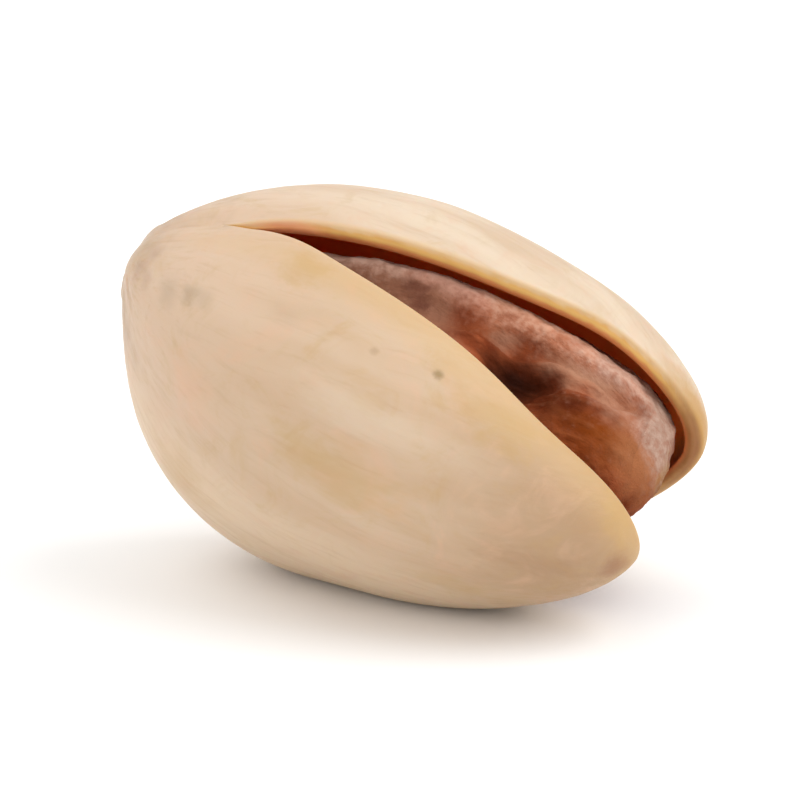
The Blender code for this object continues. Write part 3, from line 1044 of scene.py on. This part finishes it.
# The inner face's colours are painted shade under the rim and a painted orange for the seed's bounced red
# light.
INNER_RIM_SHADE, INNER_BOUNCE_ORANGE, NEAR_RIM = paint(168, 84, 36), paint(244, 132, 44), paint(196, 158, 98)
SALMON, APRICOT, UMBER = paint(216, 142, 104), paint(180, 138, 78), paint(140, 84, 36)
TINT_RAGGED = 0.2
EDGE_TINTS = [
    ((-5.6, 0.4, 3.9), (2.4, 0.9, 1.1), SALMON, 0.0, 0.75),
    ((10.2, 3.2, 0.4), (3.2, 1.7, 4.6), APRICOT, 1.0, 1.0),
    ((10.1, 3.0, 0.0), (2.4, 1.4, 3.6), UMBER, 0.0, 0.85),
]


def edge_colour(tree, through, grain):
    """Pale, yellow and warm bands across the broken edge. The grain makes their borders uneven."""
    uneven = make_uneven(tree, through, grain, 0.4)
    colour = tint(tree, EDGE_PALE, EDGE_YELLOW, uneven, 0.16, 0.34)
    return tint(tree, colour, EDGE_WARM, uneven, 0.42, 0.66)


def add_edge_tints(tree, place, through, colour):
    """Tint the wall at each row's place, by one share on the outer face and another within."""
    for middle, size, stain, outside, within in EDGE_TINTS:
        mask = blot_mask(tree, place, middle, size, TINT_RAGGED)
        strength = remap(tree, through, 0.05, 0.3, outside, within)
        colour = blend(tree, product(tree, mask, strength), colour, stain)
    return colour


def inner_colour(tree, from_edge, grain):
    """Painted shade, brown, by the rim, and from about 2 mm in a bright orange that stands for the seed's
    red light bounced onto the wall.
    """
    return tint(tree, INNER_RIM_SHADE, INNER_BOUNCE_ORANGE, math_node(tree, "ADD", from_edge, grain), 0.9, 2.4)


print("tints of the edge:", len(EDGE_TINTS))

# %% [markdown]
# Whole shell is satin and broken wood is dull, so the roughness grows through the wall. Grain
# and pores are too fine for the mesh, so they are a bump. A little light passes through the
# wood, which softens the shade on it.

# %% Build the shell's material
def add_bump(tree, shader, height, strength, distance):
    """Let a height tilt the surface: strength is its share and distance its full depth."""
    inputs = {"Height": height, "Strength": strength, "Distance": distance}
    tree.links.new(add_node(tree, "ShaderNodeBump", inputs).outputs[0], shader.inputs["Normal"])


def dress_shell(tree, shader):
    place = attribute(tree, "nut_place", "Vector")
    through = attribute(tree, "across_wall")
    from_edge = attribute(tree, "from_edge")
    lie = {"Place": place, "Half Length": HALF_LENGTH, "Width": 0.32, "Stretch": 9.0, "Waver": 0.8}
    strands = use_group(tree, threads, lie)
    grain = strands["Fine"]

    outside = add_blots(tree, place, outer_colour(tree, place, strands), STAINS + SMUDGES + STALK_MARKS)
    outside = add_dots(tree, place, outside, OLIVE, spacing=1.9, radius=0.09, share=0.10)
    near_side = remap(tree, split_axes(tree, place)["Y"], 0.0, -2.0, 0.0, 0.5)
    warm = product(tree, remap(tree, from_edge, 2.2, 0.2), near_side)
    outside = blend(tree, warm, outside, NEAR_RIM)
    broken = edge_colour(tree, through, grain)
    inside = inner_colour(tree, from_edge, grain)
    colour = tint(tree, outside, broken, through, 0.0, 0.22)
    colour = add_edge_tints(tree, place, through, colour)
    colour = tint(tree, colour, inside, through, 0.65, 0.92)
    tree.links.new(colour, shader.inputs["Base Color"])

    outer_rough = remap(tree, grain, 0.3, 0.7, 0.42, 0.56)
    rough = math_node(tree, "ADD", outer_rough, remap(tree, through, 0.2, 0.9, 0.0, 0.35))
    tree.links.new(rough, shader.inputs["Roughness"])
    pores = noise_node(tree, {"Vector": place, "Scale": 7.0, "Detail": 5.0, "Roughness": 0.65})
    height = math_node(tree, "ADD", product(tree, grain, 0.7), product(tree, pores, 0.4))
    add_bump(tree, shader, height, strength=0.35, distance=0.03 * MM)
    shader.inputs["Subsurface Weight"].default_value = 0.25
    shader.inputs["Subsurface Radius"].default_value = (1.0, 0.45, 0.2)
    shader.inputs["Subsurface Scale"].default_value = 0.8 * MM
    print("shell nodes:", len(tree.nodes))


dress_shell(*new_material("shell_wood", shell.data))

# %% [markdown]
# ## The seed's skin
#
# The skin is dusty pink on the roll, which the shell has rubbed, and turns to a pale grey with a
# bloom like flour towards the tip. That pale is partly painted highlight on the roll's crest, and
# near the stalk end partly painted light against the far wall's shade. It is rust in the furrow,
# orange brown on the bulge beside the near valve, and dull brown at the stalk end with a few dark
# bruises. Beside the near rim it is painted dark, which is painted shade, and the hollow is painted
# almost black, also painted shade.

# %% Colour the skin
PALE_LIT_START, START_BROWN, MAUVE = paint(226, 184, 162), paint(146, 102, 80), paint(214, 158, 136)
ROSE, PALE_ROSE, END_GREY = paint(204, 148, 120), paint(190, 147, 127), paint(172, 138, 120)
RUST, DEEP_RUST, ORANGE = paint(150, 78, 46), paint(118, 54, 28), paint(120, 55, 13)
ROSY_END, DUSTY, BESIDE_RIM_SHADE = paint(160, 102, 66), paint(176, 130, 104), paint(80, 29, 6)
BRUISE, HOLLOW_RIM_SHADE, HOLLOW_SHADE = paint(104, 60, 46), paint(92, 36, 14), paint(42, 13, 1)
BLOOM, SEED_END_YELLOW = paint(212, 186, 170), paint(176, 142, 86)
SKIN_STAINS = [
    ((1.4, 0.7, 3.1), (1.0, 0.5, 0.8), DEEP_RUST, 0.5, 0.25),
    ((2.7, 0.6, 2.9), (0.9, 0.5, 0.8), DUSTY, 0.6, 0.25),
    ((6.7, -1.9, 2.0), (2.7, 1.5, 1.8), ORANGE, 1.0, 0.25),
    # Painted shade: the seed is darkened beside the near valve's rim, between the hollow and the bulge.
    ((5.2, -1.4, 2.4), (2.2, 1.5, 1.8), BESIDE_RIM_SHADE, 0.95, 0.25),
    ((8.7, -1.7, 1.2), (2.1, 1.7, 2.0), ROSY_END, 0.85, 0.25),
    ((5.8, 0.3, 2.5), (2.4, 1.0, 1.0), DUSTY, 1.0, 0.25),
    ((7.3, -0.4, 2.2), (1.4, 1.2, 1.4), DUSTY, 0.6, 0.25),
]
MARKS = [
    # A pale yellow at the seed's tip end.
    ((9.5, -0.8, 0.2), (0.35, 1.7, 0.8), SEED_END_YELLOW, 0.3, 0.5),
    ((-0.8, 1.0, 3.5), (0.9, 0.45, 0.7), BRUISE, 0.7, 0.4),
    ((-0.5, 0.6, 3.1), (0.6, 0.4, 0.6), BRUISE, 0.7, 0.4),
    ((0.3, 1.6, 3.9), (1.6, 0.6, 0.9), PALE_ROSE, 0.5, 0.3),
    ((4.9, 1.2, 3.2), (0.9, 0.5, 0.6), RUST, 0.4, 0.4),
    ((4.6, 2.8, 1.7), (1.6, 0.5, 0.8), BRUISE, 0.6, 0.4),
    # Painted shade: the hollow is darkened to near black, with a dark red ring round it.
    ((3.7, -0.5, 2.3), (2.4, 1.3, 1.9), HOLLOW_RIM_SHADE, 0.9, 0.3),
    ((3.5, -0.6, 2.1), (1.8, 1.3, 1.8), HOLLOW_SHADE, 1.0, 0.2),
]


def crest_colour(tree, forward, grain, streaks):
    """From the stalk end on the roll is pale, mauve, pink, pale pink and grey. Rust shows through. The
    first pale is partly painted light against the far wall's shade.
    """
    colour = tint(tree, ROSE, PALE_ROSE, forward, 4.6, 6.4)
    colour = tint(tree, colour, END_GREY, forward, 7.6, 9.0)
    colour = tint(tree, colour, MAUVE, forward, 2.2, 0.6)
    # Partly painted light: the roll's start is made paler to lift it out of the far wall's shade.
    colour = tint(tree, colour, PALE_LIT_START, forward, -0.4, -1.8)
    colour = tint(tree, colour, RUST, grain, 0.54, 0.34, 0.20)
    return tint(tree, colour, RUST, streaks, 0.50, 0.34, 0.25)


print("stains on the skin:", len(SKIN_STAINS) + len(MARKS))

# %% [markdown]
# Dry skin hardly shines, so its gloss is turned down, and a bump adds its finest wrinkles.

# %% Build the skin's material
def dress_seed(tree, shader):
    place = attribute(tree, "seed_place", "Vector")
    rubbed, fold = attribute(tree, "rubbed"), attribute(tree, "fold")
    lie = {"Place": place, "Half Length": SEED_HALF_LENGTH, "Width": 0.25, "Stretch": 3.0, "Waver": 1.4}
    strands = use_group(tree, threads, lie)
    patches = noise_node(tree, {"Vector": place, "Scale": 0.9, "Detail": 4.0})
    grain = noise_node(tree, {"Vector": place, "Scale": 3.6, "Detail": 4.0, "Roughness": 0.5})
    forward = make_uneven(tree, split_axes(tree, place)["X"], patches, 3.0)

    colour = tint(tree, RUST, DEEP_RUST, patches, 0.36, 0.64)
    colour = tint(tree, colour, START_BROWN, forward, 1.8, 0.0, 0.9)
    colour = add_blots(tree, place, colour, SKIN_STAINS)
    uneven_fold = math_node(tree, "ADD", fold, product(tree, patches, 0.6))
    colour = tint(tree, colour, ROSY_END, uneven_fold, 0.7, 1.4, 0.10)

    # The pale roll is partly rubbed skin and partly painted highlight on its raised crest.
    worn_and_lit = make_uneven(tree, rubbed, grain, 0.7)
    crest = crest_colour(tree, forward, grain, strands["Fine"])
    colour = tint(tree, colour, crest, worn_and_lit, 0.0, 0.9)
    flour = product(tree, remap(tree, grain, 0.42, 0.72), remap(tree, worn_and_lit, 0.3, 0.9, 0.0, 0.25))
    colour = blend(tree, flour, colour, BLOOM)
    colour = add_blots(tree, place, colour, MARKS)
    colour = add_dots(tree, place, colour, BRUISE, spacing=0.8, radius=0.07, share=0.25)
    tree.links.new(colour, shader.inputs["Base Color"])

    tree.links.new(remap(tree, strands["Fine"], 0.3, 0.7, 0.55, 0.8), shader.inputs["Roughness"])
    height = math_node(tree, "ADD", strands["Fine"], grain)
    add_bump(tree, shader, height, strength=0.8, distance=0.08 * MM)
    shader.inputs["Specular IOR Level"].default_value = 0.04
    print("skin nodes:", len(tree.nodes))


dress_seed(*new_material("seed_skin", seed.data))

# %% [markdown]
# ## The pieces and their body
#
# Each piece is hung on the body it moves with, and the plain solid it stands for is hidden. The
# nut has no joint, so both ride on the one body, root.

# %% Hang each piece on its body and hide its solid
for piece, node, finish in ((shell, "shell", "shell"), (seed, "kernel", "seed_skin")):
    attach(piece, "root")
    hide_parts(node)

low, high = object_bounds()
print("visual size in mm:", [round(side * 1000, 2) for side in high - low])
